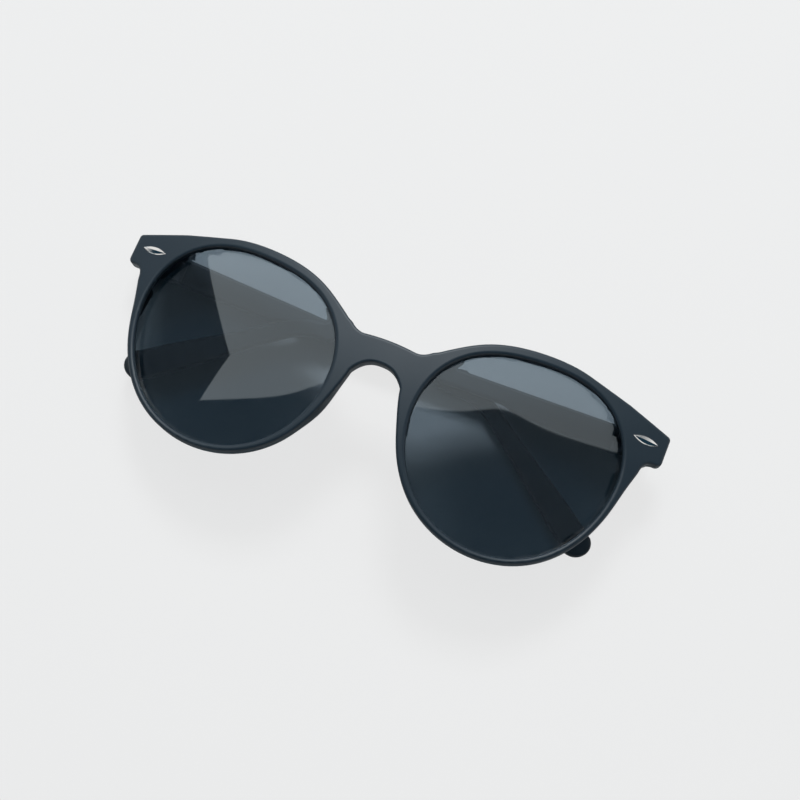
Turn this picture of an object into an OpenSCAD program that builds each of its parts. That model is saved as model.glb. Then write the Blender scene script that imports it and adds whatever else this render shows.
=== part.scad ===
// Round panto sunglasses, folded and lying face up on the outer arm.
// Millimetres. +Z is up, +X is the wearer's left, +Y is the brow side.

/* [Front] */
// width over the two end pieces
front_w = 145; // [130:1:160]
// distance between the centres of the two lens openings
eye_gap = 75; // [68:0.5:82]
// width of a lens opening
lens_w = 52.2; // [46:0.1:58]
// height of a lens opening
lens_h = 48.8; // [42:0.1:54]
// radius of the ball that the front is bent to
base_r = 195; // [150:5:300]
// thickness of the rims and the bridge
rim_t = 4.8; // [4.4:0.1:6]
// width of the rim band, mean of top and bottom
rim_w = 2.2; // [1.8:0.05:3.5]
// how much wider the band is at the brow than the mean
brow_extra = 0.55; // [0:0.05:1.2]

/* [Bridge] */
// height of the top edge of the bridge above the lens centres
bridge_top = 14.4; // [11:0.1:17]
// height of the arch under the bridge above the lens centres
bridge_arch = 7.8; // [5:0.1:10]
// length of a moulded nose pad
pad_len = 14; // [9:0.5:17]
// how far a nose pad stands out behind the rim
pad_depth = 3; // [2:0.1:6]

/* [End pieces] */
// top corner of the end piece above the lens centres
end_top = 20; // [17:0.1:23]
// underside of the end piece above the lens centres
end_low = 11.7; // [9:0.1:13]
// radius of the hollow between the rim and the end piece's underside
end_fillet = 2.5; // [1.5:0.1:3]
// flat back of the end piece, measured back from the top of the front
end_back = 18.6; // [17:0.1:21]
// length of the leaf-shaped inlay
inlay_len = 6.8; // [4:0.1:8]
// height of the leaf-shaped inlay
inlay_h = 2; // [1.4:0.1:3]
// how far the inlay stands proud
inlay_proud = 0.3; // [0.1:0.05:0.5]

/* [Lenses] */
// thickness of a lens
lens_t = 1.8; // [1.4:0.1:2.2]
// how deep the lens face lies under the rim face
lens_recess = 2; // [1:0.1:2.2]
// how far the lens edge runs into the groove of the rim
lens_bite = 0.8; // [0.4:0.05:1]

/* [Arms] */
// length of the straight run, hinge to the start of the ear bend
arm_run = 86.2; // [80:0.1:100]
// length of the ear behind the bend
ear_len = 41.2; // [30:0.1:46]
// radius of the ear bend
ear_bend_r = 16; // [10:1:30]
// angle that the ear turns down
ear_angle = 33.9; // [25:0.1:45]
// height of the arm at the hinge
arm_h0 = 7.3; // [6.4:0.1:8]
// how long the high part of the arm behind the hinge is
arm_step = 31; // [20:1:45]
// height of the slim part where it begins
arm_h1 = 4.6; // [3.6:0.1:6]
// height of the slim part at the ear bend
arm_h2 = 4.2; // [3:0.1:5]
// height of the ear near its tip
ear_h = 7.4; // [5:0.1:9]
// thickness of the arm at the hinge
arm_t0 = 4; // [3.4:0.1:5]
// thickness of the arm at the ear
arm_t1 = 3.2; // [2.6:0.1:4]
// downward slope of the slim part of an open arm against the front
drop_angle = 2.1; // [0:0.1:6]
// height of the slim part's middle line above the hinge's middle, at the hinge axis
arm_rise = 1.7; // [0:0.1:2]

/* [Hinges] */
// number of barrels on one hinge, the odd ones on the front
barrels = 5; // [3:2:5]
// outer diameter of a barrel
barrel_d = 3.2; // [2.8:0.1:3.4]
// height of the whole barrel stack
barrel_stack = 7; // [5.5:0.1:7.4]
// diameter of the hinge screw
screw_d = 1.4; // [1.2:0.1:1.6]
// running clearance round the screw
screw_fit = 0.04; // [0.02:0.01:0.08]
// free space between two barrels
barrel_gap = 0.06; // [0.04:0.01:0.1]

/* [Folding] */
// how far the upper folded arm leans up towards the front
lean_upper = 1.9; // [1.8:0.1:3]
// how far the lower folded arm leans away from the front
lean_lower = 1.8; // [1.8:0.1:4]

/* [Hidden] */
$fn = 96;

steps = 96;
half_w = front_w / 2;
eye_x = eye_gap / 2;
// mean radius and ovalness of the opening, without its panto terms
eye_r = (lens_w + lens_h) / 4 + 0.25;
oval = (lens_w - lens_h) / 4;
// the lens seat
groove_front = lens_recess - 0.05;
groove_back = lens_recess + lens_t + 0.05;
groove_bite = lens_bite + 0.05;
// hinge axis, seen from the front's own frame
arm_in = barrel_d / 2 + 0.3;
pivot_x = half_w - 0.3 - arm_t0 - arm_in;
pivot_y = (end_top + end_low) / 2;
pivot_z = -end_back - 2.4;
butt = 2.2;
barrel_h = (barrel_stack - (barrels - 1) * barrel_gap) / barrels;
barrel_pitch = barrel_h + barrel_gap;
front_leaf_half = barrel_stack / 2 + 0.05;
leaf_in = 5.4;
arm_leaf_half = 2.7;
arm_leaf_from = 2.6;
arm_leaf_to = 6.9;
pin_d = 1.2;
pin_head = 1.9;
// angles that turn an open arm to its folded place
fold_left = 90 + lean_upper;
fold_right = 90 - lean_lower;
// where the middle of the folded object lies, seen from the front's own frame
tops = [for (i = [0 : steps - 1]) rim(360 * i / steps) * sin(360 * i / steps)];
mid_y = (max(tops) + min(tops)) / 2;
corner_sag = base_r - sqrt(base_r * base_r - half_w * half_w - pow(end_low + 1.1, 2));
mid_x = (end_back + corner_sag) * sin(lean_lower) / 2;
// height of the front above the floor, which the lower arm's flat side touches
drop_to_floor = pivot_x * sin(lean_lower) - pivot_z * cos(lean_lower) + arm_in + arm_t0;
plastic = [0.2, 0.23, 0.27];
metal = [0.75, 0.76, 0.78];
tint = [0.16, 0.2, 0.23, 0.8];

// radius of the lens opening in direction t, 0 towards the hinge, 90 to the brow
function eye(t) = eye_r + oval * cos(2 * t) + 0.025 * eye_r * sin(2 * t)
  - 0.008 * eye_r * cos(3 * t) + 0.03 * eye_r * sin(3 * t) - 0.012 * eye_r * cos(4 * t);
function bump(t, at, wide) = exp(-pow((t - at) / wide, 2));
// radius of the outer edge of the rim, with its swellings at the bridge and the end piece
function rim(t) = eye(t) + rim_w + brow_extra * sin(t) - 0.2 * cos(t)
  + 3.3 * bump(t, 162, 18.6) + 4.6 * bump(t, 28, 15.5) + 4.6 * bump(t, 388, 15.5);
function ease(a, b, t) = a + (b - a) * (1 - cos(180 * max(0, min(1, t)))) / 2;

// a flat ring outline about the left eye, grown outwards by g
module eye_shape(g) {
  translate([eye_x, 0])
    polygon([for (i = [0 : steps - 1]) let (t = 360 * i / steps)
      [(eye(t) + g) * cos(t), (eye(t) + g) * sin(t)]]);
}

module rim_shape() {
  translate([eye_x, 0])
    polygon([for (i = [0 : steps - 1]) let (t = 360 * i / steps) [rim(t) * cos(t), rim(t) * sin(t)]]);
}

module bridge_shape() {
  polygon(concat(
    [for (x = [-11 : 0.5 : 11])
      [x, bridge_top - 0.6 * pow(x / 8, 2) + 0.133 * pow(max(0, abs(x) - 6.5), 2)]],
    [for (x = [7.5 : -0.5 : -7.5]) [x, bridge_arch - 0.0287 * pow(abs(x), 2.6)]]
  ));
}

module end_shape() {
  r = 1;
  q = 1.4;
  polygon(concat(
    [[half_w - 22.5, end_top - 2],
    [half_w - 22.5, end_top + 5.35],
    [half_w - 12.5, end_top + 3.2]],
    [for (a = [75 : -15 : 0]) [half_w - r + r * cos(a), end_top - r + r * sin(a)]],
    [for (a = [0 : -15 : -90]) [half_w - q + q * cos(a), end_low + q + q * sin(a)]],
    [for (a = [90 : 20 : 170])
      [half_w - 2.1 + end_fillet * cos(a), end_low - end_fillet + end_fillet * sin(a)]],
    [[half_w - 8, end_low - 3]]
  ));
}

module front_shape() {
  rim_shape();
  end_shape();
  mirror([1, 0]) {
    rim_shape();
    end_shape();
  }
  bridge_shape();
}

// a curved sheet between two depths under the ball that gives the front its bend
module bent_sheet(top, bottom) {
  translate([0, 0, -base_r])
    rotate([90, 0, 0])
      difference() {
        sphere(r = base_r - top, $fn = 180);
        sphere(r = base_r - bottom, $fn = 180);
      }
}

module up_prism(depth) {
  translate([0, 0, -depth])
    linear_extrude(height = depth + 2)
      children();
}

// puts children on the bent face at x, y, with their own Z square to it
module on_face(x, y) {
  av = asin(y / base_r);
  au = asin(x / (base_r * cos(av)));
  translate([0, 0, -base_r])
    rotate([0, au, 0])
      rotate([-av, 0, 0])
        translate([0, 0, base_r])
          children();
}

module leaf_outline(grow) {
  a = inlay_len / 2;
  b = inlay_h / 2;
  rho = (a * a + b * b) / (2 * b);
  intersection() {
    translate([0, b - rho])
      circle(rho + grow);
    translate([0, rho - b])
      circle(rho + grow);
  }
}

// a slim moulded pad that bears on the side of the nose
module nose_pad() {
  r = 2.8;
  translate([eye_x - 25.1, -6.4, -rim_t - pad_depth + r])
    rotate([0, 0, 19])
      rotate([90, 0, 0]) {
        cylinder(r = r, h = pad_len - 2 * r, center = true);
        for (k = [-1, 1])
          translate([0, 0, k * (pad_len / 2 - r)])
            sphere(r = r);
      }
}

// what the back of the front is hollowed with: a ball, but not behind the end pieces
module back_hollow() {
  intersection() {
    translate([0, 0, -base_r])
      rotate([90, 0, 0])
        sphere(r = base_r - rim_t, $fn = 180);
    translate([0, 40, 0])
      rotate([90, 0, 0])
        linear_extrude(height = 80)
          polygon([
            [-half_w + 13.5, 5],
            [-half_w + 11.5, -end_back],
            [-half_w + 11.5, -60],
            [half_w - 11.5, -60],
            [half_w - 11.5, -end_back],
            [half_w - 13.5, 5]
          ]);
  }
  intersection() {
    translate([0, 0, -base_r])
      rotate([90, 0, 0])
        sphere(r = base_r - rim_t, $fn = 180);
    translate([-100, end_low - 108, -60])
      cube([200, 100, 65]);
  }
}

module half_cuts() {
  // the opening, its front is the visible edge of the rim
  up_prism(30)
    eye_shape(0);
  // the groove that the lens snaps into
  intersection() {
    bent_sheet(groove_front, groove_back);
    up_prism(30)
      eye_shape(groove_bite);
  }
  // pocket of the leaf-shaped inlay
  on_face(pivot_x + 0.4, pivot_y + 0.7)
    translate([0, 0, -1])
      linear_extrude(height = 3)
        leaf_outline(0.06);
  leaf_pocket();
}

module leaf_pocket() {
  translate([pivot_x, pivot_y, pivot_z]) {
    translate([-leaf_in - 0.05, -front_leaf_half - 0.05, 2])
      cube([leaf_in + 1.6, 2 * front_leaf_half + 0.1, 1.25]);
    for (s = [-1, 1])
      translate([-3.9, s * 1.8, 2])
        cylinder(d = pin_d + 0.04, h = 3.6, $fn = 32);
  }
}

module at_front() {
  translate([-mid_x, -mid_y, drop_to_floor])
    rotate([0, -lean_lower, 0])
      children();
}

module front() {
  color(plastic)
    at_front()
      difference() {
        union() {
          difference() {
            intersection() {
              translate([0, 0, -base_r])
                rotate([90, 0, 0])
                  sphere(r = base_r, $fn = 180);
              translate([0, 0, -end_back])
                linear_extrude(height = end_back + 2)
                  front_shape();
            }
            back_hollow();
          }
          nose_pad();
          mirror([1, 0, 0])
            nose_pad();
        }
        half_cuts();
        mirror([1, 0, 0])
          half_cuts();
      }
}

module lens() {
  color(tint)
    intersection() {
      bent_sheet(lens_recess, lens_recess + lens_t);
      up_prism(30)
        eye_shape(lens_bite);
    }
}

module inlay() {
  color(metal)
    on_face(pivot_x + 0.4, pivot_y + 0.7)
      intersection() {
        translate([0, 0, -0.9])
          linear_extrude(height = 3)
            leaf_outline(0);
        // the rounded back of the leaf
        translate([0, 0, inlay_proud - 3])
          rotate([0, 90, 0])
            cylinder(r = 3, h = 2 * inlay_len, center = true);
      }
}

module barrel(n) {
  translate([0, -barrel_stack / 2 + n * barrel_pitch, 0])
    rotate([-90, 0, 0])
      cylinder(d = barrel_d, h = barrel_h);
}

module screw_bore() {
  translate([0, -barrel_stack / 2 - 1, 0])
    rotate([-90, 0, 0])
      cylinder(d = screw_d + 2 * screw_fit, h = barrel_stack + 2);
  translate([0, barrel_stack / 2 - 0.65, 0])
    rotate([-90, 0, 0])
      cylinder(d = 2.4 + 2 * screw_fit, h = 2);
}

// the half of the hinge that is let into the back of the end piece
module front_leaf() {
  color(metal)
    translate([pivot_x, pivot_y, pivot_z])
      difference() {
        union() {
          translate([-leaf_in, -front_leaf_half, 2.4])
            cube([leaf_in + 1.5, 2 * front_leaf_half, 0.8]);
          for (n = [0 : 2 : barrels - 1]) {
            barrel(n);
            translate([-1.4, -barrel_stack / 2 + n * barrel_pitch, 0])
              cube([2.8, barrel_h, 2.6]);
          }
        }
        screw_bore();
        for (s = [-1, 1])
          translate([-3.9, s * 1.8, 0])
            cylinder(d = pin_d + 0.04, h = 6, $fn = 32);
      }
}

module pin(long) {
  cylinder(d = pin_d, h = long, $fn = 32);
  translate([0, 0, -0.35])
    cylinder(d1 = pin_head - 0.5, d2 = pin_head, h = 0.35, $fn = 32);
}

module front_pins() {
  for (s = [-1, 1])
    translate([pivot_x - 3.9, pivot_y + s * 1.8, pivot_z + 2.38])
      pin(3);
}

module leaf_pins_front() {
  color(metal)
    at_front() {
      front_pins();
      mirror([1, 0, 0])
        front_pins();
    }
}

// centre line of the arm: s is the way along it from the hinge axis
step_len = 6;
bend_s = arm_run;
bend_len = ear_bend_r * ear_angle * PI / 180;
ear_s = bend_s + bend_len;
tip_s = ear_s + ear_len;
function turn(s) = -drop_angle - ear_angle * max(0, min(1, (s - bend_s) / bend_len));
// the corner of the bend
cx = bend_s * cos(drop_angle);
cy = arm_rise - bend_s * sin(drop_angle);
ox = cx - ear_bend_r * sin(drop_angle);
oy = cy - ear_bend_r * cos(drop_angle);
function on_bend(a) = [ox + ear_bend_r * sin(-a), oy + ear_bend_r * cos(a)];
function mid(s) = s <= bend_s ? [s * cos(drop_angle), arm_rise - s * sin(drop_angle)]
  : s <= ear_s ? on_bend(turn(s))
  : on_bend(turn(ear_s)) + (s - ear_s) * [cos(turn(s)), sin(turn(s))];
function half_h(s) = s < ear_s ? ease(arm_h1, arm_h2, (s - arm_step) / (ear_s - arm_step)) / 2
  : ease(arm_h2, ear_h, (s - ear_s) / (ear_len - ear_h * 0.3)) / 2;
function side(s, k) = mid(s) + k * half_h(s) * [-sin(turn(s)), cos(turn(s))];
// top and underside at the hinge; the underside is level up to the step, where it rises to the slim part
arm_top = arm_rise + arm_h1 / 2;
arm_low = arm_top - arm_h0;
function underside(s) = s < arm_step + step_len
  ? [s, ease(arm_low, side(s, -1)[1], (s - arm_step) / step_len)] : side(s, -1);

module arm_profile() {
  run_from = arm_step + step_len;
  stops = concat([for (i = [0 : 6]) run_from + (bend_s - run_from) * i / 6],
    [for (i = [1 : 8]) bend_s + bend_len * i / 8],
    [for (i = [1 : 8]) ear_s + (ear_len - ear_h * 0.3) * i / 8]);
  ends = mid(tip_s);
  last = turn(tip_s);
  r = ear_h / 2;
  polygon(concat(
    [[-butt, arm_top - 0.3], [-butt + 0.3, arm_top], side(0, 1)],
    [for (s = stops) side(s, 1)],
    [for (a = [70 : -14 : -70]) mid(ear_s + ear_len - ear_h * 0.3)
      + r * [cos(last + a) * 1.1, sin(last + a)]],
    [for (i = [len(stops) - 1 : -1 : 0]) underside(stops[i])],
    [for (i = [7 : -1 : 0]) underside(arm_step + step_len * i / 8)],
    [[-butt + 0.3, arm_low], [-butt, arm_low + 0.3]]
  ));
}

// the two pins of an arm leaf lie side by side, square to the arm's inner side
module at_arm_pins(x) {
  for (s = [-1, 1])
    translate([x, s * 1.5, -arm_leaf_to + 1.6])
      rotate([0, 90, 0])
        children();
}

// an open arm on the wearer's left, its hinge axis through the origin along Y
module open_arm() {
  color(plastic)
    difference() {
      intersection() {
        translate([arm_in, 0, 0])
          rotate([0, 90, 0])
            linear_extrude(height = arm_t0)
              arm_profile();
        // the inner side draws in towards the ear, the outer side is flat
        translate([0, 60, 0])
          rotate([90, 0, 0])
            linear_extrude(height = 120)
              polygon([
                [arm_in, butt],
                [arm_in + arm_t0 - 0.5, butt],
                [arm_in + arm_t0, butt - 0.5],
                [arm_in + arm_t0, -tip_s - 5],
                [arm_in + arm_t0 - arm_t1, -tip_s - 5],
                [arm_in + arm_t0 - arm_t1, -bend_s],
                [arm_in, -14]
              ]);
      }
      // seat of the hinge leaf and the holes for its pins
      translate([arm_in - 1, -arm_leaf_half - 0.05, -arm_leaf_to - 0.05])
        cube([1.85, 2 * arm_leaf_half + 0.1, arm_leaf_to - arm_leaf_from + 0.1]);
      at_arm_pins(arm_in - 1)
        cylinder(d = pin_d + 0.04, h = 4.2, $fn = 32);
    }
}

module open_arm_leaf() {
  color(metal)
    difference() {
      union() {
        translate([arm_in - 0.5, -arm_leaf_half, -arm_leaf_to])
          cube([1.3, 2 * arm_leaf_half, arm_leaf_to - arm_leaf_from]);
        for (n = [1 : 2 : barrels - 2]) {
          barrel(n);
          translate([-1.3, -barrel_stack / 2 + n * barrel_pitch, -3.5])
            cube([arm_in + 1.1, barrel_h, 3.5]);
        }
      }
      screw_bore();
      at_arm_pins(arm_in - 1)
        cylinder(d = pin_d + 0.04, h = 5, $fn = 32);
    }
}

module open_arm_pins() {
  color(metal)
    at_arm_pins(arm_in - 0.52)
      pin(3.3);
}

module hinge_screw() {
  color(metal)
    translate([pivot_x, pivot_y, pivot_z])
      difference() {
        union() {
          translate([0, -barrel_stack / 2 - 0.2, 0])
            rotate([-90, 0, 0])
              cylinder(d = screw_d, h = barrel_stack, $fn = 48);
          translate([0, barrel_stack / 2 - 0.6, 0])
            rotate([-90, 0, 0])
              cylinder(d = 2.4, h = 0.6, $fn = 48);
        }
        // screwdriver slot
        translate([-2, barrel_stack / 2 - 0.25, -0.2])
          cube([4, 1, 0.4]);
      }
}

// turns an open arm about its hinge to the folded rest
module folded(angle) {
  translate([pivot_x, pivot_y, pivot_z])
    rotate([0, angle, 0])
      children();
}

module lens_left() {
  at_front()
    lens();
}

module lens_right() {
  at_front()
    mirror([1, 0, 0])
      lens();
}

module inlay_left() {
  at_front()
    inlay();
}

module inlay_right() {
  at_front()
    mirror([1, 0, 0])
      inlay();
}

module front_leaf_left() {
  at_front()
    front_leaf();
}

module front_leaf_right() {
  at_front()
    mirror([1, 0, 0])
      front_leaf();
}

module hinge_screw_left() {
  at_front()
    hinge_screw();
}

module hinge_screw_right() {
  at_front()
    mirror([1, 0, 0])
      hinge_screw();
}

module arm_left() {
  at_front()
    folded(fold_left)
      open_arm();
}

module arm_leaf_left() {
  at_front()
    folded(fold_left)
      open_arm_leaf();
}

module leaf_pins_arm_left() {
  at_front()
    folded(fold_left)
      open_arm_pins();
}

module arm_right() {
  at_front()
    mirror([1, 0, 0])
      folded(fold_right)
        open_arm();
}

module arm_leaf_right() {
  at_front()
    mirror([1, 0, 0])
      folded(fold_right)
        open_arm_leaf();
}

module leaf_pins_arm_right() {
  at_front()
    mirror([1, 0, 0])
      folded(fold_right)
        open_arm_pins();
}

front();
lens_left();
lens_right();
inlay_left();
inlay_right();
front_leaf_left();
front_leaf_right();
leaf_pins_front();
arm_left();
arm_leaf_left();
leaf_pins_arm_left();
arm_right();
arm_leaf_right();
leaf_pins_arm_right();
hinge_screw_left();
hinge_screw_right();
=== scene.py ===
import math

import bmesh
import bpy
from mathutils import Matrix, Vector


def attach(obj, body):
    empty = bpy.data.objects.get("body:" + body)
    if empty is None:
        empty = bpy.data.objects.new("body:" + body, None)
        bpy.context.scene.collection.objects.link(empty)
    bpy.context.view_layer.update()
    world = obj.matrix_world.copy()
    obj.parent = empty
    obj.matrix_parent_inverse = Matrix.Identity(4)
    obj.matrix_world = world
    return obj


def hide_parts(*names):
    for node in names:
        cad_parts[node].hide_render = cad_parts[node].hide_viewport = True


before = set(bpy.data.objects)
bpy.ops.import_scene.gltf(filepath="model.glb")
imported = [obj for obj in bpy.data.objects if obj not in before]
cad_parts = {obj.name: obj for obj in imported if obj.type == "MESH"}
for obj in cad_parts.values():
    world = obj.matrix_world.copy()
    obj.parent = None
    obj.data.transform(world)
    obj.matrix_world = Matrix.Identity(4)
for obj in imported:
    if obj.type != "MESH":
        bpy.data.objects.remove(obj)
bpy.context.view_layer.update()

# The plastic front
# One injection moulding in dark grey nylon: two rims, the bridge, the nose pads and the two end pieces.
# The mould gives it soft edges all round, and it comes out bent to a ball and tumbled matt.

# lengths in millimetres and angles in degrees, the latter counted from the hinge side towards the brow
BALL = 195.0  # radius of the ball that it is bent to
HALF_W = 72.5
EDGE = 0.6
BEND_PITCH = 2.9
BEND_REACH = (HALF_W, 29)
# the openings, with a groove between these depths under the face
EYE_X = 37.5
EYE_MEAN = 25.5
EYE_OVAL = 0.85
EYE_EDGE = 1.0
GROOVE = (1.95, 3.85)
GROOVE_DEEP = 0.85
# the rims, which swell at the nose, more widely on the chin side than on the brow side, and at the ends
ROUND_STEP = 2.5
RIM_W = 2.2
RIM_T = 4.8
NOSE_SWELL, NOSE_AT, NOSE_WIDE = 3.3, 162, (16, 18.6)
END_SWELL, END_AT, END_WIDE = 4.6, 28, 15.5
LOW_RIM = (172.5, 375)
HIGH_RIM = (65, 147.5)
# the bridge and the nose pads
ARCH_TOP = 8.15
BRIDGE_TOP = 14.4
PAD_REACH = 20
PAD_Y = -6.4
PAD_HALF = 8.5
PAD_DEEP = 3.0
# the end pieces: how far back they reach, where they grow out of the rim, the hinge axis, the leaf's pocket
END_BACK = 18.6
GROW_X, GROW_WIDE = 56, 4.8
GROW_Y, GROW_HIGH = -3, 10
PIVOT = Vector((66.3, 15.85, -21.0))
POCKET_IN, POCKET_OUT, POCKET_HALF = 5.45, 1.55, 3.6
POCKET_DEEP = 0.85
# how the front lies on the folded arms
LEAN = 1.8
LIES_AT = (-0.51878, 0.16047, 28.97217)

# from the front's own millimetres to the folded object's metres
front_place = (Matrix.Scale(0.001, 4) @ Matrix.Translation(LIES_AT)
               @ Matrix.Rotation(math.radians(-LEAN), 4, "Y"))


def eye_radius(t):
    """Radius of the lens opening in direction t: a panto shape, wider and flatter towards the brow."""
    a = math.radians(t)
    return (EYE_MEAN + EYE_OVAL * math.cos(2 * a)
            + EYE_MEAN * (0.025 * math.sin(2 * a) - 0.008 * math.cos(3 * a)
                          + 0.03 * math.sin(3 * a) - 0.012 * math.cos(4 * a)))


def rim_radius(t):
    """Radius of the outer edge of the rim, which swells towards the bridge and the end piece."""
    a = math.radians(t)
    swell = NOSE_SWELL * math.exp(-((t - NOSE_AT) / NOSE_WIDE[t >= NOSE_AT]) ** 2)
    swell += (END_SWELL * math.exp(-((t - END_AT) / END_WIDE) ** 2)
              + END_SWELL * math.exp(-((t - END_AT - 360) / END_WIDE) ** 2))
    return eye_radius(t) + RIM_W + 0.55 * math.sin(a) - 0.2 * math.cos(a) + swell


def round_eye(radius, t):
    """Point at this radius and direction from the middle of the opening."""
    a = math.radians(t)
    return EYE_X + radius * math.cos(a), radius * math.sin(a)


def along(start, stop, step):
    """Even steps from start to stop, both included."""
    n = max(1, round(abs(stop - start) / step))
    return [start + (stop - start) * i / n for i in range(n + 1)]


def corner(x, y, radius, start, stop):
    """Points of a rounded corner of the outline."""
    return [(x + radius * math.cos(math.radians(a)), y + radius * math.sin(math.radians(a)))
            for a in along(start, stop, 15)]


def sink(x, y, depth):
    """Height of the bent sheet that lies so deep under the ball."""
    return math.sqrt((BALL - depth) ** 2 - x * x - y * y) - BALL


def ease(a, b, t):
    """Passes softly from a to b as t goes from 0 to 1."""
    return a + (b - a) * (1 - math.cos(math.pi * max(0, min(1, t)))) / 2


def extrude(bm, faces, keep=False):
    """Extrudes the faces and gives the vertices of the new ones."""
    made = bmesh.ops.extrude_face_region(bm, geom=faces, use_keep_orig=keep)["geom"]
    return [part for part in made if isinstance(part, bmesh.types.BMVert)]


def cut_through(bm, place, normal):
    """Cuts the whole mesh along a plane."""
    bmesh.ops.bisect_plane(bm, geom=bm.verts[:] + bm.edges[:] + bm.faces[:], dist=0.01,
                           plane_co=place, plane_no=normal)


def cut_faces(bm, faces, place, normal):
    """Cuts only these faces along a plane."""
    bm.normal_update()
    faces = list(faces)
    edges = dict.fromkeys(e for f in faces for e in f.edges)
    verts = dict.fromkeys(v for f in faces for v in f.verts)
    bmesh.ops.bisect_plane(bm, geom=list(verts) + list(edges) + faces, dist=0.01,
                           plane_co=place, plane_no=normal)


def cut_grid(bm):
    """Cuts every face along a square grid, so that a flat blank can be bent."""
    for axis, far in enumerate(BEND_REACH):
        for at in along(-far, far, BEND_PITCH):
            place, normal = [0, 0, 0], [0, 0, 0]
            place[axis], normal[axis] = at, 1
            cut_through(bm, place, normal)


def sharp_edges(bm, angle):
    return [e for e in bm.edges if len(e.link_faces) == 2 and e.calc_face_angle(0) > angle]


def soften(bm, edges, width, steps):
    """Rounds these edges."""
    bmesh.ops.bevel(bm, geom=edges, offset=width, offset_type="OFFSET", segments=steps, profile=0.5,
                    affect="EDGES", clamp_overlap=False, material=-1)


def hold_flats(bm, axis):
    """A narrow strip round each flat side keeps the shading of the soft edge off the flat."""
    bm.normal_update()
    bmesh.ops.inset_region(bm, faces=[f for f in bm.faces if abs(f.normal[axis]) > 0.999],
                           thickness=0.12, use_even_offset=True)


def finish_piece(bm, name, place, crease=40):
    """Writes the bmesh as a smooth shaded object that sits at the origin."""
    bmesh.ops.transform(bm, matrix=place, verts=bm.verts)
    bmesh.ops.remove_doubles(bm, verts=bm.verts, dist=1e-5)
    bmesh.ops.recalc_face_normals(bm, faces=bm.faces)
    for face in bm.faces:
        face.smooth = True
    for edge in bm.edges:
        edge.smooth = len(edge.link_faces) == 2 and edge.calc_face_angle(0) < math.radians(crease)
    mesh = bpy.data.meshes.new(name)
    bm.to_mesh(mesh)
    bm.free()
    piece = bpy.data.objects.new(name, mesh)
    bpy.context.scene.collection.objects.link(piece)
    return piece


# outline of the wearer's left half, from the middle of the arch round the rim to the top of the bridge
arch = [(x, ARCH_TOP - 0.0302 * x ** 2.6) for x in along(0, 6, 0.5)]
low_rim = [round_eye(rim_radius(t), t) for t in along(*LOW_RIM, ROUND_STEP)]
end_piece = [(67.95, 9.6), (68.4, 10.7), (69.2, 11.4), (70.2, 11.68)]
end_piece += corner(71.1, 13.1, 1.4, -90, 0) + corner(71.5, 19, 1, 0, 75) + [(60, 23.2)]
high_rim = [round_eye(rim_radius(t), t) for t in along(*HIGH_RIM, ROUND_STEP)]
bridge = [(x, BRIDGE_TOP - 0.6 * (x / 8) ** 2 + 0.133 * max(0, x - 6.5) ** 2)
          for x in along(10.6, 0, 0.75)]

# the flat blank of that half is two faces, which meet above and below the opening
bm = bmesh.new()
outline = [bm.verts.new((x, y, 0)) for x, y in arch + low_rim + end_piece + high_rim + bridge]
opening = [bm.verts.new((*round_eye(eye_radius(t), t), 0)) for t in along(0, 360 - ROUND_STEP, ROUND_STEP)]
up, down = round(90 / ROUND_STEP), round(270 / ROUND_STEP)
brow = len(arch + low_rim + end_piece) + round((90 - HIGH_RIM[0]) / ROUND_STEP)
chin = len(arch) + round((270 - LOW_RIM[0]) / ROUND_STEP)
bm.faces.new(outline[brow:] + outline[:chin + 1] + opening[up:down + 1][::-1])
bm.faces.new(outline[chin:brow + 1] + opening[:up + 1][::-1] + opening[down:][::-1])
bmesh.ops.translate(bm, vec=(0, 0, -RIM_T), verts=extrude(bm, bm.faces[:]))
bmesh.ops.delete(bm, geom=[f for f in bm.faces if all(abs(v.co.x) < 1e-6 for v in f.verts)],
                 context="FACES")
bmesh.ops.mirror(bm, geom=bm.verts[:] + bm.edges[:] + bm.faces[:], axis="X", merge_dist=1e-4)
bmesh.ops.recalc_face_normals(bm, faces=bm.faces)


def off_centre(co):
    """The way from the middle of the nearer opening."""
    return Vector((abs(co.x) - EYE_X, co.y, 0))


def off_opening(co):
    """How far a place lies outside the edge of the opening."""
    way = off_centre(co)
    return way.length - eye_radius(math.degrees(math.atan2(way.y, way.x)))


def front_of_eye(e):
    return all(v.co.z > -0.1 and off_opening(v.co) < 0.5 for v in e.verts)


soften(bm, [e for e in sharp_edges(bm, 1.3) if front_of_eye(e)], EYE_EDGE, 4)
soften(bm, [e for e in sharp_edges(bm, 1.3) if not front_of_eye(e)], EDGE, 4)
hold_flats(bm, 2)


def opening_wall():
    """Faces of the walls of both openings."""
    return [f for f in bm.faces
            if abs(f.normal.z) < 0.1 and off_opening(f.calc_center_median()) < 0.1]


# the groove round each opening, into which the lens snaps
bm.normal_update()
for depth in GROOVE:
    cut_faces(bm, opening_wall(), (0, 0, -depth), (0, 0, 1))
bm.normal_update()
groove = [f for f in opening_wall() if GROOVE[0] < -f.calc_center_median().z < GROOVE[1]]
for v in extrude(bm, groove):
    way = off_centre(v.co)
    way = way * (1 + GROOVE_DEEP / way.length) - way
    v.co += Vector((math.copysign(1, v.co.x) * way.x, way.y, 0))

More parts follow.
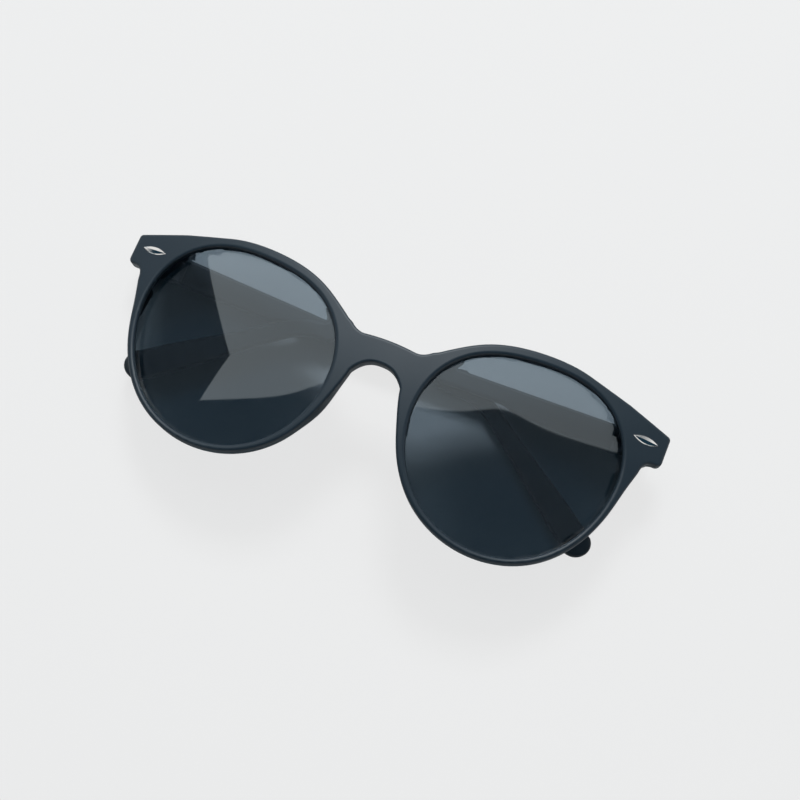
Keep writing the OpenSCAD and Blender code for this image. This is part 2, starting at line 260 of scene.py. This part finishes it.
# close cuts where the end piece grows out of the back of the rim, and the grid for the bend
for side in (1, -1):
    for x in along(GROW_X, GROW_X + GROW_WIDE, 0.8):
        cut_through(bm, (side * x, 0, 0), (1, 0, 0))
for y in along(GROW_Y, GROW_Y + GROW_HIGH, 1):
    cut_through(bm, (0, y, 0), (0, 1, 0))
cut_grid(bm)
for v in bm.verts:
    x, y, depth = v.co.x, v.co.y, -v.co.z
    z = sink(x, y, depth)
    if depth > RIM_T - EDGE - 0.01:
        if abs(x) > GROW_X and y > GROW_Y:
            # the end piece stays solid to a flat back, which carries the hinge
            z += ((-END_BACK + RIM_T - depth - z) * ease(0, 1, (abs(x) - GROW_X) / GROW_WIDE)
                  * ease(0, 1, (y - GROW_Y) / GROW_HIGH))
        elif abs(x) < PAD_REACH:
            # the nose pads are moulded in one with the back of the rims
            part = (y - PAD_Y) / PAD_HALF
            if abs(part) < 1:
                z -= PAD_DEEP * (0.5 + 0.5 * math.cos(math.pi * part))
    v.co.z = z


def back_of_end(side):
    """Faces of the flat back of one end piece."""
    return [f for f in bm.faces if f.normal.z < -0.9 and f.calc_center_median().x * side > 60
            and f.calc_center_median().z < -END_BACK + 0.01]


# the pocket for the hinge leaf in the flat back of each end piece
for side in (1, -1):
    bm.normal_update()
    for at in (PIVOT.x - POCKET_IN, PIVOT.x + POCKET_OUT):
        cut_faces(bm, back_of_end(side), (side * at, 0, 0), (1, 0, 0))
    for at in (PIVOT.y - POCKET_HALF, PIVOT.y + POCKET_HALF):
        cut_faces(bm, back_of_end(side), (0, at, 0), (0, 1, 0))
    pocket = [f for f in back_of_end(side)
              if PIVOT.x - POCKET_IN < side * f.calc_center_median().x < PIVOT.x + POCKET_OUT
              and abs(f.calc_center_median().y - PIVOT.y) < POCKET_HALF]
    bmesh.ops.translate(bm, vec=(0, 0, POCKET_DEEP), verts=extrude(bm, pocket))
front = finish_piece(bm, "plastic_front", front_place)
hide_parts("front")
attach(front, "front")


def matt_plastic(name, colour, grain, relief):
    """Tumbled nylon: a fine even grain, slightly uneven sheen and faint cloudiness in the pigment."""
    mat = bpy.data.materials.new(name)
    mat.use_nodes = True
    tree = mat.node_tree
    shader = tree.nodes["Principled BSDF"]
    shader.inputs["Specular IOR Level"].default_value = 0.52
    where = tree.nodes.new("ShaderNodeTexCoord")
    cloud = tree.nodes.new("ShaderNodeTexNoise")
    cloud.inputs["Scale"].default_value = 90
    cloud.inputs["Detail"].default_value = 4
    tint = tree.nodes.new("ShaderNodeMix")
    tint.data_type = "RGBA"
    tint.inputs["A"].default_value = (*[c * 0.9 for c in colour], 1)
    tint.inputs["B"].default_value = (*[c * 1.1 for c in colour], 1)
    speck = tree.nodes.new("ShaderNodeTexNoise")
    speck.inputs["Scale"].default_value = grain
    speck.inputs["Detail"].default_value = 2
    sheen = tree.nodes.new("ShaderNodeMapRange")
    sheen.inputs["From Min"].default_value = 0.3
    sheen.inputs["From Max"].default_value = 0.7
    sheen.inputs["To Min"].default_value = 0.45
    sheen.inputs["To Max"].default_value = 0.52
    bump = tree.nodes.new("ShaderNodeBump")
    bump.inputs["Strength"].default_value = relief
    bump.inputs["Distance"].default_value = 0.00004
    tree.links.new(where.outputs["Object"], cloud.inputs["Vector"])
    tree.links.new(where.outputs["Object"], speck.inputs["Vector"])
    tree.links.new(cloud.outputs["Fac"], tint.inputs["Factor"])
    tree.links.new(tint.outputs["Result"], shader.inputs["Base Color"])
    tree.links.new(cloud.outputs["Fac"], sheen.inputs["Value"])
    tree.links.new(sheen.outputs["Result"], shader.inputs["Roughness"])
    tree.links.new(speck.outputs["Fac"], bump.inputs["Height"])
    tree.links.new(bump.outputs["Normal"], shader.inputs["Normal"])
    return mat


front.data.materials.append(matt_plastic("matt front plastic", (0.008, 0.020, 0.032), 5200, 0.08))

# The lenses
# Two discs of grey tinted polycarbonate, 1.8 mm thick and bent to the same ball as the front.
# They are hard coated and polished, and their edges are snapped into the groove of the rim.
LENS_FACE = 2.0
LENS_T = 1.8
LENS_LAP = 0.8  # how far it reaches into the groove
SEEN_TINT = (0.215, 0.262, 0.305)
LAMP_TINT = (0.12, 0.20, 0.25)


def lens_disc(side):
    bm = bmesh.new()
    bm.faces.new([bm.verts.new((*round_eye(eye_radius(t) + LENS_LAP, t), -LENS_FACE))
                  for t in along(0, 360 - ROUND_STEP, ROUND_STEP)])
    bmesh.ops.translate(bm, vec=(0, 0, -LENS_T), verts=extrude(bm, bm.faces[:]))
    bmesh.ops.recalc_face_normals(bm, faces=bm.faces)
    soften(bm, sharp_edges(bm, 1.3), 0.25, 2)
    cut_grid(bm)
    for v in bm.verts:
        v.co.z = sink(v.co.x, v.co.y, -v.co.z)
    if side < 0:
        bmesh.ops.scale(bm, vec=(-1, 1, 1), verts=bm.verts)
    return bm


def tinted_lens(name, passes, shade):
    """Polished clear plastic. The eye sees through it in one tint, lamps shine through in a darker one."""
    mat = bpy.data.materials.new(name)
    mat.use_nodes = True
    tree = mat.node_tree
    shader = tree.nodes["Principled BSDF"]
    shader.inputs["Base Color"].default_value = (*passes, 1)
    shader.inputs["Transmission Weight"].default_value = 1
    shader.inputs["IOR"].default_value = 1.66
    where = tree.nodes.new("ShaderNodeTexCoord")
    haze = tree.nodes.new("ShaderNodeTexNoise")
    haze.inputs["Scale"].default_value = 240
    haze.inputs["Detail"].default_value = 3
    rub = tree.nodes.new("ShaderNodeMapRange")
    rub.inputs["From Min"].default_value = 0.35
    rub.inputs["From Max"].default_value = 0.75
    rub.inputs["To Min"].default_value = 0.0
    rub.inputs["To Max"].default_value = 0.004
    rays = tree.nodes.new("ShaderNodeLightPath")
    lit = tree.nodes.new("ShaderNodeMath")
    lit.operation = "MAXIMUM"
    through = tree.nodes.new("ShaderNodeBsdfTransparent")
    through.inputs["Color"].default_value = (*shade, 1)
    pick = tree.nodes.new("ShaderNodeMixShader")
    tree.links.new(where.outputs["Object"], haze.inputs["Vector"])
    tree.links.new(haze.outputs["Fac"], rub.inputs["Value"])
    tree.links.new(rub.outputs["Result"], shader.inputs["Roughness"])
    tree.links.new(rays.outputs["Is Shadow Ray"], lit.inputs[0])
    tree.links.new(rays.outputs["Is Diffuse Ray"], lit.inputs[1])
    tree.links.new(lit.outputs["Value"], pick.inputs["Fac"])
    tree.links.new(shader.outputs["BSDF"], pick.inputs[1])
    tree.links.new(through.outputs["BSDF"], pick.inputs[2])
    tree.links.new(pick.outputs["Shader"], tree.nodes["Material Output"].inputs["Surface"])
    return mat


grey_tint = tinted_lens("grey lens tint", SEEN_TINT, LAMP_TINT)
for side, hand in ((1, "left"), (-1, "right")):
    lens = finish_piece(lens_disc(side), "tinted_lens_" + hand, front_place)
    lens.data.materials.append(grey_tint)
    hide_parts("lens_" + hand)
    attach(lens, "front")

# The leaf-shaped inlays
# A small stamped leaf of bright nickelled brass on the face of each end piece, with a ridge along its middle.
# It is pressed into a pocket, so only its rounded face stands proud of the plastic.
LEAF_LONG = 7.3
LEAF_HIGH = 2.0
LEAF_DEEP = 0.9
SHOULDER = 0.16
PROUD = 0.2
RIDGE = 0.26
LEAF_AT = (PIVOT.x + 0.4, PIVOT.y + 0.7)


def on_face(x, y):
    """Place on the bent face at x, y, with its own Z square to it."""
    up = math.asin(y / BALL)
    out = math.asin(x / (BALL * math.cos(up)))
    return (Matrix.Translation((0, 0, -BALL)) @ Matrix.Rotation(out, 4, "Y")
            @ Matrix.Rotation(-up, 4, "X") @ Matrix.Translation((0, 0, BALL)))


def leaf_inlay():
    """Two arcs that meet in the points, extruded down, with a shoulder and a ridge on top."""
    bm = bmesh.new()
    half, high = LEAF_LONG / 2, LEAF_HIGH / 2
    bend = (half * half + high * high) / (2 * high)
    swing = math.asin(half / bend)
    upper = [(bend * math.sin(a), bend * math.cos(a) - bend + high)
             for a in along(-swing, swing, swing / 10)]
    rim = [bm.verts.new((x, y, 0)) for x, y in upper]
    rim += [bm.verts.new((x, -y, 0)) for x, y in upper[-2:0:-1]]
    bm.faces.new(rim)
    bmesh.ops.recalc_face_normals(bm, faces=bm.faces)
    if bm.faces[:][0].normal.z < 0:
        bmesh.ops.reverse_faces(bm, faces=bm.faces)
    bmesh.ops.translate(bm, vec=(0, 0, -LEAF_DEEP), verts=extrude(bm, bm.faces[:], keep=True))
    bmesh.ops.recalc_face_normals(bm, faces=bm.faces)
    bmesh.ops.inset_region(bm, faces=[f for f in bm.faces if f.normal.z > 0.9],
                           thickness=SHOULDER, depth=PROUD, use_even_offset=True)
    cut_faces(bm, [f for f in bm.faces if f.normal.z > 0.95 and f.calc_center_median().z > 0.1],
              (0, 0, 0), (0, 1, 0))
    for at in along(-2.4, 2.4, 0.6):
        cut_faces(bm, [f for f in bm.faces if f.calc_center_median().z > 0.05], (at, 0, 0), (1, 0, 0))
    for v in bm.verts:
        if abs(v.co.y) < 1e-4 and v.co.z > 0.1:
            v.co.z += RIDGE * (1 - (v.co.x / half) ** 2)
    return bm


def bright_nickel(name):
    """Polished plate with the faint cross brushing that the stamp leaves."""
    mat = bpy.data.materials.new(name)
    mat.use_nodes = True
    tree = mat.node_tree
    shader = tree.nodes["Principled BSDF"]
    shader.inputs["Base Color"].default_value = (0.83, 0.82, 0.80, 1)
    shader.inputs["Metallic"].default_value = 1
    where = tree.nodes.new("ShaderNodeTexCoord")
    comb = tree.nodes.new("ShaderNodeMapping")
    comb.inputs["Scale"].default_value = (6000, 500, 500)
    brush = tree.nodes.new("ShaderNodeTexNoise")
    brush.inputs["Scale"].default_value = 1
    brush.inputs["Detail"].default_value = 3
    polish = tree.nodes.new("ShaderNodeMapRange")
    polish.inputs["To Min"].default_value = 0.06
    polish.inputs["To Max"].default_value = 0.14
    bump = tree.nodes.new("ShaderNodeBump")
    bump.inputs["Strength"].default_value = 0.15
    bump.inputs["Distance"].default_value = 0.00004
    tree.links.new(where.outputs["Object"], comb.inputs["Vector"])
    tree.links.new(comb.outputs["Vector"], brush.inputs["Vector"])
    tree.links.new(brush.outputs["Fac"], polish.inputs["Value"])
    tree.links.new(polish.outputs["Result"], shader.inputs["Roughness"])
    tree.links.new(brush.outputs["Fac"], bump.inputs["Height"])
    tree.links.new(bump.outputs["Normal"], shader.inputs["Normal"])
    return mat


nickel = bright_nickel("bright nickel")
for side, hand in ((1, "left"), (-1, "right")):
    place = front_place @ Matrix.Scale(side, 4, (1, 0, 0)) @ on_face(*LEAF_AT)
    inlay = finish_piece(leaf_inlay(), "leaf_inlay_" + hand, place, crease=12)
    inlay.data.materials.append(nickel)
    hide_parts("inlay_" + hand)
    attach(inlay, "front")

# The arms
# Each arm is one nylon moulding with a flat outer side, 4 mm thick at the hinge and 3.2 mm at the ear.
# It is high and level behind the hinge, steps up from below to a slim part, and bends down to a wider ear.

# across: from the hinge axis to the inner side, and the thickness
ARM_IN = 1.9
ARM_T = 4.0
ARM_THIN = 3.2
THINS_FROM = 14
ARM_EDGE = 0.8
# along the arm, from the hinge axis
BUTT = 2.2
STEP = 31.0
STEP_LEN = 6.0
RUN = 86.2
EAR = 41.2
BEND_R = 16.0
BEND = 33.9
DROP = 2.1
# seen from the side
RISE = 1.7
HIGH = 7.3
SLIM = 4.6
SLIMMEST = 4.2
EAR_HIGH = 7.4
EAR_POINT = 1.1  # how much longer than a half circle the ear's end is
# how far each arm is turned in from fully open
FOLD = {"left": 91.9, "right": 88.2}

bend_long = BEND_R * math.radians(BEND)
ear_start = RUN + bend_long
ear_round = ear_start + EAR - 0.3 * EAR_HIGH
arm_top = RISE + SLIM / 2
arm_low = arm_top - HIGH


def turn(s):
    """Slope of the arm at s along it."""
    return -DROP - BEND * max(0, min(1, (s - RUN) / bend_long))


def centre_line(s):
    """Point of the arm's middle line, s along it from the hinge axis: x is the way back, y is up."""
    drop = math.radians(DROP)
    start, back = Vector((0, RISE)), Vector((math.cos(drop), -math.sin(drop)))
    if s <= RUN:
        return start + s * back
    hub = start + RUN * back - BEND_R * Vector((math.sin(drop), math.cos(drop)))
    a = math.radians(turn(s))
    past_bend = max(0, s - ear_start) * Vector((math.cos(a), math.sin(a)))
    return hub + BEND_R * Vector((-math.sin(a), math.cos(a))) + past_bend


def arm_edge(s, k):
    """Point of the upper edge, with k = 1, or of the lower edge, with k = -1."""
    a = math.radians(turn(s))
    if s < ear_start:
        half = ease(SLIM, SLIMMEST, (s - STEP) / (ear_start - STEP)) / 2
    else:
        half = ease(SLIMMEST, EAR_HIGH, (s - ear_start) / (ear_round - ear_start)) / 2
    return centre_line(s) + k * half * Vector((-math.sin(a), math.cos(a)))


def underside(s):
    if s < STEP + STEP_LEN:
        return Vector((s, ease(arm_low, arm_edge(s, -1).y, (s - STEP) / STEP_LEN)))
    return arm_edge(s, -1)


def ear_end(a):
    """Point of the rounded end, in direction a from the way the ear runs."""
    last = turn(ear_round)
    way = Vector((EAR_POINT * math.cos(math.radians(last + a)), math.sin(math.radians(last + a))))
    return centre_line(ear_round) + EAR_HIGH / 2 * way


def open_arm():
    """An open arm on the wearer's left: the hinge axis is Y through the origin, and the arm runs along -Z."""
    bm = bmesh.new()
    level = along(0, STEP + STEP_LEN, 4)[:-1]
    behind = (along(STEP + STEP_LEN, RUN, 4) + along(RUN, ear_start, 1.2)[1:]
              + along(ear_start, ear_round, 2.2)[1:])
    side_view = [Vector((-BUTT, arm_top - 0.3)), Vector((0.3 - BUTT, arm_top))]
    side_view += [arm_edge(s, 1) for s in level + behind]
    side_view += [ear_end(a) for a in along(75, -75, 10)]
    side_view += [underside(s) for s in behind[::-1] + along(STEP + STEP_LEN, STEP, 0.5)[1:]]
    side_view += [Vector((0.3 - BUTT, arm_low)), Vector((-BUTT, arm_low + 0.3))]
    bm.faces.new([bm.verts.new((ARM_IN + ARM_T, p.y, -p.x)) for p in side_view])
    bmesh.ops.translate(bm, vec=(-ARM_T, 0, 0), verts=extrude(bm, bm.faces[:]))
    bmesh.ops.recalc_face_normals(bm, faces=bm.faces)
    soften(bm, sharp_edges(bm, 1.2), ARM_EDGE, 5)
    hold_flats(bm, 0)
    for at in along(-130, 0, 5):
        cut_through(bm, (0, 0, at), (0, 0, 1))
    # the inner side draws in towards the ear
    for v in bm.verts:
        inwards = max(0, min(1, (ARM_IN + ARM_T - v.co.x) / ARM_T))
        thinned = max(0, min(1, (-v.co.z - THINS_FROM) / (RUN - THINS_FROM)))
        v.co.x += inwards * (ARM_T - ARM_THIN) * thinned
    return bm


arm_plastic = matt_plastic("matt arm plastic", (0.008, 0.018, 0.027), 5200, 0.03)
for side, hand in ((1, "left"), (-1, "right")):
    place = (front_place @ Matrix.Scale(side, 4, (1, 0, 0)) @ Matrix.Translation(PIVOT)
             @ Matrix.Rotation(math.radians(FOLD[hand]), 4, "Y"))
    arm = finish_piece(open_arm(), "plastic_arm_" + hand, place)
    arm.data.materials.append(arm_plastic)
    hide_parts("arm_" + hand)
    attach(arm, hand + "_arm")

# The hinges
# Five-barrel hinges: three barrels on the front's leaf and two on the arm's, of a dark burnished metal.
# Each leaf is let into the plastic and held by two pins, and a slotted steel screw runs through the barrels.


def satin_steel(name, colour, rough):
    """Metal with fine brushing, which makes its tone and its gloss a little uneven."""
    mat = bpy.data.materials.new(name)
    mat.use_nodes = True
    tree = mat.node_tree
    shader = tree.nodes["Principled BSDF"]
    shader.inputs["Metallic"].default_value = 1
    where = tree.nodes.new("ShaderNodeTexCoord")
    comb = tree.nodes.new("ShaderNodeMapping")
    comb.inputs["Scale"].default_value = (700, 9000, 700)
    brush = tree.nodes.new("ShaderNodeTexNoise")
    brush.inputs["Scale"].default_value = 1
    brush.inputs["Detail"].default_value = 3
    tone = tree.nodes.new("ShaderNodeMix")
    tone.data_type = "RGBA"
    tone.inputs["A"].default_value = (*[c * 0.82 for c in colour], 1)
    tone.inputs["B"].default_value = (*colour, 1)
    satin = tree.nodes.new("ShaderNodeMapRange")
    satin.inputs["To Min"].default_value = rough - 0.08
    satin.inputs["To Max"].default_value = rough + 0.1
    bump = tree.nodes.new("ShaderNodeBump")
    bump.inputs["Strength"].default_value = 0.2
    bump.inputs["Distance"].default_value = 0.00003
    tree.links.new(where.outputs["Object"], comb.inputs["Vector"])
    tree.links.new(comb.outputs["Vector"], brush.inputs["Vector"])
    tree.links.new(brush.outputs["Fac"], tone.inputs["Factor"])
    tree.links.new(tone.outputs["Result"], shader.inputs["Base Color"])
    tree.links.new(brush.outputs["Fac"], satin.inputs["Value"])
    tree.links.new(satin.outputs["Result"], shader.inputs["Roughness"])
    tree.links.new(brush.outputs["Fac"], bump.inputs["Height"])
    tree.links.new(bump.outputs["Normal"], shader.inputs["Normal"])
    return mat


leaf_steel = satin_steel("burnished leaf metal", (0.20, 0.20, 0.21), 0.38)
screw_steel = satin_steel("turned screw steel", (0.60, 0.60, 0.61), 0.28)
for node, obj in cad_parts.items():
    if "leaf" in node or "screw" in node:
        obj.data.materials.clear()
        obj.data.materials.append(screw_steel if "screw" in node else leaf_steel)

# The studio
# A pale table in a pale room with a dim ceiling. A large soft box hangs over the brow side, and its lower
# edge shows in the lenses. A small window lamp lights the table behind them from past the brow.

# lengths in metres from here on
PALE = 0.885
CEILING = (0.010, 0.034, 0.056)
AMBIENT = 0.06
TABLE_CLEAR = 0.85
BOX_WIDE, BOX_DEEP = 1.58, 0.92
CLOTH_LEFT, CLOTH_LOW = -0.86, -0.02  # where the cloth's corner lies on its own measures
WINDOW_AT = Vector((-0.15, 0.75, 0.90))


def pale_room():
    world = bpy.data.worlds.new("pale room")
    bpy.context.scene.world = world
    world.use_nodes = True
    tree = world.node_tree
    fill = tree.nodes["Background"]
    fill.inputs["Color"].default_value = (0.60, 0.88, 1.0, 1)
    fill.inputs["Strength"].default_value = AMBIENT
    # what shines in gloss: pale walls, and the ceiling dims towards the top
    room = tree.nodes.new("ShaderNodeBackground")
    where = tree.nodes.new("ShaderNodeTexCoord")
    part = tree.nodes.new("ShaderNodeSeparateXYZ")
    rise = tree.nodes.new("ShaderNodeMapRange")
    rise.inputs["From Min"].default_value = 0.25
    rise.inputs["From Max"].default_value = 0.50
    dim = tree.nodes.new("ShaderNodeMix")
    dim.data_type = "RGBA"
    dim.inputs["A"].default_value = (PALE, PALE, PALE, 1)
    dim.inputs["B"].default_value = (*CEILING, 1)
    seen = tree.nodes.new("ShaderNodeBackground")
    seen.inputs["Color"].default_value = (PALE, PALE, PALE, 1)
    rays = tree.nodes.new("ShaderNodeLightPath")
    direct = tree.nodes.new("ShaderNodeMath")
    direct.operation = "MAXIMUM"
    gloss = tree.nodes.new("ShaderNodeMixShader")
    pick = tree.nodes.new("ShaderNodeMixShader")
    tree.links.new(where.outputs["Generated"], part.inputs["Vector"])
    tree.links.new(part.outputs["Z"], rise.inputs["Value"])
    tree.links.new(rise.outputs["Result"], dim.inputs["Factor"])
    tree.links.new(dim.outputs["Result"], room.inputs["Color"])
    tree.links.new(rays.outputs["Is Glossy Ray"], gloss.inputs["Fac"])
    tree.links.new(fill.outputs["Background"], gloss.inputs[1])
    tree.links.new(room.outputs["Background"], gloss.inputs[2])
    tree.links.new(rays.outputs["Is Camera Ray"], direct.inputs[0])
    tree.links.new(rays.outputs["Is Transmission Ray"], direct.inputs[1])
    tree.links.new(direct.outputs["Value"], pick.inputs["Fac"])
    tree.links.new(gloss.outputs["Shader"], pick.inputs[1])
    tree.links.new(seen.outputs["Background"], pick.inputs[2])
    tree.links.new(pick.outputs["Shader"], tree.nodes["World Output"].inputs["Surface"])


def table_top():
    """The table is lit as any other, but seen from the camera it is mostly as pale as the room behind it."""
    bm = bmesh.new()
    bmesh.ops.create_grid(bm, x_segments=2, y_segments=2, size=1.5)
    table = finish_piece(bm, "table", Matrix.Translation((0, 0, -0.00005)))
    mat = bpy.data.materials.new("pale table")
    mat.use_nodes = True
    tree = mat.node_tree
    shader = tree.nodes["Principled BSDF"]
    shader.inputs["Base Color"].default_value = (0.8, 0.8, 0.8, 1)
    shader.inputs["Roughness"].default_value = 0.9
    shader.inputs["Specular IOR Level"].default_value = 0.1
    clear = tree.nodes.new("ShaderNodeBsdfTransparent")
    rays = tree.nodes.new("ShaderNodeLightPath")
    share = tree.nodes.new("ShaderNodeMath")
    share.operation = "MULTIPLY"
    share.inputs[1].default_value = TABLE_CLEAR
    pick = tree.nodes.new("ShaderNodeMixShader")
    tree.links.new(rays.outputs["Is Camera Ray"], share.inputs[0])
    tree.links.new(share.outputs["Value"], pick.inputs["Fac"])
    tree.links.new(shader.outputs["BSDF"], pick.inputs[1])
    tree.links.new(clear.outputs["BSDF"], pick.inputs[2])
    tree.links.new(pick.outputs["Shader"], tree.nodes["Material Output"].inputs["Surface"])
    table.data.materials.append(mat)


def lamp(name, place, aim, size, watts, colour):
    """A square-edged area lamp that shows in gloss, but not to the eye, also not through a lens."""
    light = bpy.data.lights.new(name, "AREA")
    light.shape = "RECTANGLE"
    light.size, light.size_y = size
    light.energy = watts
    light.color = colour
    obj = bpy.data.objects.new(name, light)
    obj.location = place
    obj.rotation_euler = aim
    obj.visible_camera = False
    obj.visible_transmission = False
    bpy.context.scene.collection.objects.link(obj)
    return light


def shaped_cloth(light):
    """Leaves only part of the soft box shining: its cloth hangs unevenly along two sides, and one end is
    brighter."""
    light.use_nodes = True
    tree = light.node_tree
    spot = tree.nodes.new("ShaderNodeNewGeometry")
    part = tree.nodes.new("ShaderNodeSeparateXYZ")
    tree.links.new(spot.outputs["Parametric"], part.inputs["Vector"])

    def calc(operation, *terms):
        node = tree.nodes.new("ShaderNodeMath")
        node.operation = operation
        for socket, term in zip(node.inputs, terms):
            if isinstance(term, (int, float)):
                socket.default_value = term
            else:
                tree.links.new(term, socket)
        return node.outputs["Value"]

    def swell(at, width, high):
        away = calc("DIVIDE", calc("SUBTRACT", along_x, at), width)
        return calc("DIVIDE", high, calc("ADD", 1, calc("MULTIPLY", away, away)))

    # places on the cloth
    along_x = calc("MULTIPLY_ADD", part.outputs["X"], BOX_WIDE, CLOTH_LEFT)
    up_y = calc("MULTIPLY_ADD", part.outputs["Y"], BOX_DEEP, CLOTH_LOW)
    hem = calc("ADD", swell(-0.21, 0.09, 0.085), swell(0.26, 0.11, 0.05))
    above = calc("SUBTRACT", calc("SUBTRACT", up_y, hem), -0.012)
    notch = calc("MULTIPLY_ADD", calc("ABSOLUTE", calc("SUBTRACT", up_y, 0.14)), 0.6, 0.586)
    inside = calc("MINIMUM", above, calc("ADD", along_x, notch))
    fade = calc("MULTIPLY_ADD", part.outputs["X"], -0.40, 1.05)
    edge = tree.nodes.new("ShaderNodeMapRange")
    edge.inputs["From Min"].default_value = -0.003
    edge.inputs["From Max"].default_value = 0.003
    tree.links.new(inside, edge.inputs["Value"])
    tree.links.new(calc("MULTIPLY", fade, edge.outputs["Result"]),
                   tree.nodes["Emission"].inputs["Strength"])


pale_room()
table_top()
shaped_cloth(lamp("soft box", (-0.182, 0.537, 0.8), (0, 0, math.radians(15.1)), (BOX_WIDE, BOX_DEEP),
                  7.0, (0.86, 0.96, 1.0)))
lamp("window", WINDOW_AT, WINDOW_AT.to_track_quat("Z", "Y").to_euler(), (0.3, 0.3),
     8.4, (0.95, 0.98, 1.0))

# the camera stands where the photographer stood, above the bottom edge and a little to the right
eye_turn = (Matrix.Rotation(math.radians(-22.294), 3, "Z") @ Matrix.Rotation(math.radians(-9.197), 3, "X")
            @ Matrix.Rotation(math.radians(-5.94), 3, "Y"))
stand = eye_turn.transposed() @ Vector((7.664, -1.341, 364.083))
camera_data = bpy.data.cameras.new("camera")
camera_data.sensor_width = 36
camera_data.lens = 67.82
camera_data.clip_start = 0.01
camera_data.clip_end = 20
camera = bpy.data.objects.new("camera", camera_data)
turned = front_place.to_3x3().normalized() @ eye_turn.transposed()
camera.matrix_world = Matrix.Translation(front_place @ stand) @ turned.to_4x4()
bpy.context.scene.collection.objects.link(camera)
bpy.context.scene.camera = camera
bpy.context.scene.view_settings.view_transform = "Standard"
